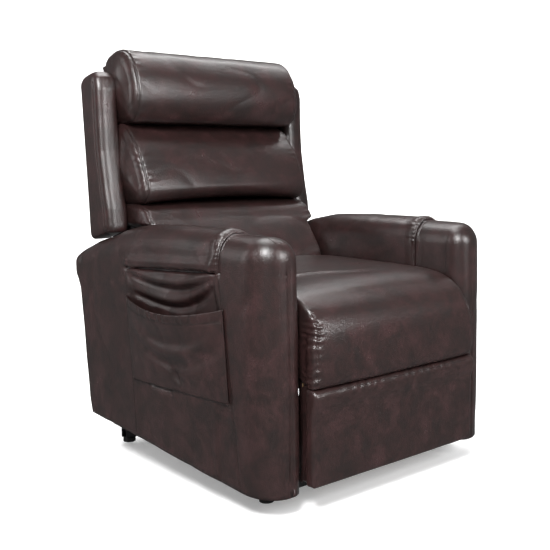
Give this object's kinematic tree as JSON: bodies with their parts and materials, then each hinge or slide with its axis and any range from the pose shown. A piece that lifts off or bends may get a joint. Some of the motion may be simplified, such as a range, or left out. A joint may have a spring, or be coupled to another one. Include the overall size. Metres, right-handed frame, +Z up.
{
  "type": "lift recliner chair",
  "caption": "Upholstered lift recliner chair: a steel lift base tilts the seat forward, the back reclines and the footrest folds out.",
  "frame": {"origin": "on the floor, under the middle of the chair's bounding box", "axes": "+Z up, -Y towards the front of the chair (the way the sitter faces), +X towards the sitter's left"},
  "size_m": [0.78, 0.8319, 1.0544],
  "materials": {
    "leather": "dark brown coated leather, soft gloss",
    "black_steel": "black powder coat, satin",
    "zinc_steel": "bright zinc-plated steel",
    "plywood": "sawn plywood, unfinished",
    "dust_cloth": "black non-woven dust cloth",
    "motor_plastic": "moulded black plastic, fine texture",
    "handset_plastic": "moulded black plastic, satin",
    "button_plastic": "moulded grey plastic",
    "glide_rubber": "black moulded rubber"
  },
  "bodies": {
    "base": {"floor_front_tube": "black_steel", "floor_rear_tube": "black_steel", "floor_side_tube_right": "black_steel", "floor_side_tube_left": "black_steel", "lift_post_right": "black_steel", "lift_post_left": "black_steel", "floor_glide_front_right": "glide_rubber", "floor_glide_front_left": "glide_rubber", "floor_glide_rear_right": "glide_rubber", "floor_glide_rear_left": "glide_rubber"},
    "lift_arms": {"lift_arm_right": "black_steel", "lift_arm_left": "black_steel", "lift_torque_tube": "black_steel"},
    "lift_links": {"lift_link_right": "black_steel", "lift_link_left": "black_steel"},
    "carriage": {"seat_side_rail_right": "black_steel", "seat_side_rail_left": "black_steel", "seat_front_rail": "black_steel", "seat_mid_tube": "black_steel", "seat_rear_tube": "black_steel", "seat_spring": "zinc_steel", "seat_cushion": "leather", "rear_skirt": "dust_cloth", "arm_pad_right": "leather", "arm_pad_left": "leather", "arm_front_pad_right": "leather", "arm_front_pad_left": "leather", "arm_outer_panel_right": "leather", "arm_outer_panel_left": "leather", "arm_inner_panel_right": "leather", "arm_inner_panel_left": "leather", "arm_frame_right": "plywood", "arm_frame_left": "plywood", "side_pocket": "leather", "handset_case": "handset_plastic"},
    "footrest": {"footrest_board": "plywood", "calf_pad": "leather", "foot_pad": "leather", "footrest_bracket_right": "black_steel", "footrest_bracket_left": "black_steel"},
    "footrest_shaft": {"footrest_drive_shaft": "black_steel"},
    "footrest_links": {"footrest_push_link_right": "black_steel", "footrest_push_link_left": "black_steel"},
    "backrest": {"back_panel": "leather", "back_post_right": "black_steel", "back_post_left": "black_steel", "back_pivot_tube": "black_steel", "head_cushion": "leather", "middle_cushion": "leather", "lumbar_cushion": "leather", "back_wing_right": "leather", "back_wing_left": "leather"},
    "lift_motor_housing": {"lift_motor_housing": "motor_plastic"},
    "lift_motor_rod": {"lift_motor_rod": "zinc_steel"},
    "back_motor_housing": {"back_motor_housing": "motor_plastic"},
    "back_motor_rod": {"back_motor_rod": "zinc_steel"},
    "footrest_motor_housing": {"footrest_motor_housing": "motor_plastic"},
    "footrest_motor_rod": {"footrest_motor_rod": "zinc_steel"},
    "button_up": {"handset_button_up": "button_plastic"},
    "button_down": {"handset_button_down": "button_plastic"}
  },
  "joints": [
    {"name": "lift", "type": "hinge", "parent": "base", "child": "lift_arms", "pos_m": [0, -0.19, 0.235], "axis": [1, 0, 0], "range_deg": [0, 50]},
    {"name": "lift_carriage_tilt", "type": "hinge", "parent": "lift_arms", "child": "carriage", "pos_m": [0, 0.2, 0.1], "axis": [1, 0, 0], "range_deg": [-25, 0]},
    {"name": "lift_link_swing", "type": "hinge", "parent": "base", "child": "lift_links", "pos_m": [0, -0.2598, 0.23], "axis": [1, 0, 0], "range_deg": [0, 60.01]},
    {"name": "footrest", "type": "hinge", "parent": "carriage", "child": "footrest", "pos_m": [0, -0.35, 0.413], "axis": [-1, 0, 0], "range_deg": [0, 80]},
    {"name": "footrest_shaft_turn", "type": "hinge", "parent": "carriage", "child": "footrest_shaft", "pos_m": [0, -0.17, 0.35], "axis": [-1, 0, 0], "range_deg": [0, 80]},
    {"name": "footrest_link_swing", "type": "hinge", "parent": "footrest_shaft", "child": "footrest_links", "pos_m": [0, -0.12, 0.222], "axis": [-1, 0, 0], "range_deg": [-80, 0]},
    {"name": "recline", "type": "hinge", "parent": "carriage", "child": "backrest", "pos_m": [0, 0.26, 0.345], "axis": [-1, 0, 0], "range_deg": [0, 40]},
    {"name": "lift_motor_tilt", "type": "hinge", "parent": "base", "child": "lift_motor_housing", "pos_m": [0, -0.24, 0.08], "axis": [1, 0, 0], "range_deg": [0, 29.54]},
    {"name": "lift_motor_stroke", "type": "slide", "parent": "lift_motor_housing", "child": "lift_motor_rod", "axis": [0, 0.9487, 0.3162], "range_m": [0, 0.0932]},
    {"name": "back_motor_tilt", "type": "hinge", "parent": "carriage", "child": "back_motor_housing", "pos_m": [0.095, -0.1, 0.29], "axis": [1, 0, 0], "range_deg": [0, 0.756]},
    {"name": "back_motor_stroke", "type": "slide", "parent": "back_motor_housing", "child": "back_motor_rod", "axis": [0, 0.9927, -0.1207], "range_m": [-0.0683, 0]},
    {"name": "footrest_motor_tilt", "type": "hinge", "parent": "carriage", "child": "footrest_motor_housing", "pos_m": [-0.095, 0.13, 0.3], "axis": [1, 0, 0], "range_deg": [-0.724, 0]},
    {"name": "footrest_motor_stroke", "type": "slide", "parent": "footrest_motor_housing", "child": "footrest_motor_rod", "axis": [0, -0.9988, 0.0499], "range_m": [0, 0.0551]},
    {"name": "button_up", "type": "slide", "parent": "carriage", "child": "button_up", "axis": [1, 0, 0], "range_m": [0, 0.0012], "stiffness_N_per_m": 400, "springref_m": -0.0006},
    {"name": "button_down", "type": "slide", "parent": "carriage", "child": "button_down", "axis": [1, 0, 0], "range_m": [0, 0.0012], "stiffness_N_per_m": 400, "springref_m": -0.0006}
  ],
  "couplings": [
    {"joint": "lift_carriage_tilt", "follows": "lift", "ratio": -0.5},
    {"joint": "lift_link_swing", "follows": "lift", "ratio": 1.2002},
    {"joint": "footrest_shaft_turn", "follows": "footrest", "ratio": 1},
    {"joint": "footrest_link_swing", "follows": "footrest", "ratio": -1},
    {"joint": "lift_motor_tilt", "follows": "lift", "ratio": 0.5904},
    {"joint": "lift_motor_stroke", "follows": "lift", "m_per_rad": 0.10663},
    {"joint": "back_motor_tilt", "follows": "recline", "ratio": 0.0184},
    {"joint": "back_motor_stroke", "follows": "recline", "m_per_rad": -0.09766},
    {"joint": "footrest_motor_tilt", "follows": "footrest", "ratio": -0.0088},
    {"joint": "footrest_motor_stroke", "follows": "footrest", "m_per_rad": 0.03939}
  ]
}
